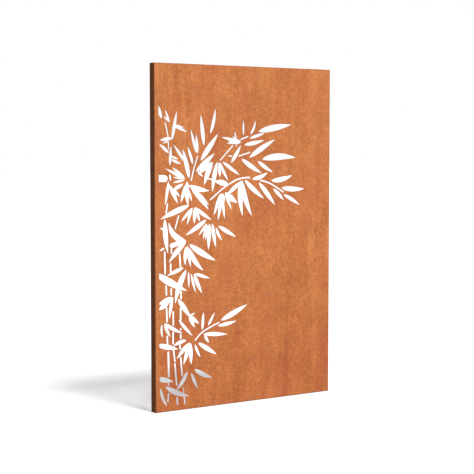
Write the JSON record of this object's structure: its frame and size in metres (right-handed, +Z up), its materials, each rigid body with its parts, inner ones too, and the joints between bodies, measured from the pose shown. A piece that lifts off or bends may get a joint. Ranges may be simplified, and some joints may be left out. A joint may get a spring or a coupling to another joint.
{
  "type": "laser cut metal screen",
  "caption": "Upright garden screen of rusted weathering steel, laser cut with a bamboo thicket and folded on all sides into a shallow tray that is open at the back.",
  "frame": {"origin": "on the floor, at the middle of the screen's width and depth", "axes": "+X along the screen to the right as seen from the front, +Y from the cut face to the open back, +Z up"},
  "size_m": [1.1, 0.05, 1.8],
  "materials": {
    "weathering_steel": "matte",
    "weld_bead": "matte",
    "nut_steel": "matte"
  },
  "bodies": {
    "root": {"cut_sheet": "weathering_steel", "corner_weld_bottom_left": "weld_bead", "corner_weld_bottom_right": "weld_bead", "corner_weld_top_left": "weld_bead", "corner_weld_top_right": "weld_bead", "lip_weld_bottom_left": "weld_bead", "lip_weld_bottom_right": "weld_bead", "lip_weld_top_left": "weld_bead", "lip_weld_top_right": "weld_bead", "weld_nut_left_bottom": "nut_steel", "weld_nut_left_middle": "nut_steel", "weld_nut_left_top": "nut_steel", "weld_nut_right_bottom": "nut_steel", "weld_nut_right_middle": "nut_steel", "weld_nut_right_top": "nut_steel"}
  },
  "joints": []
}
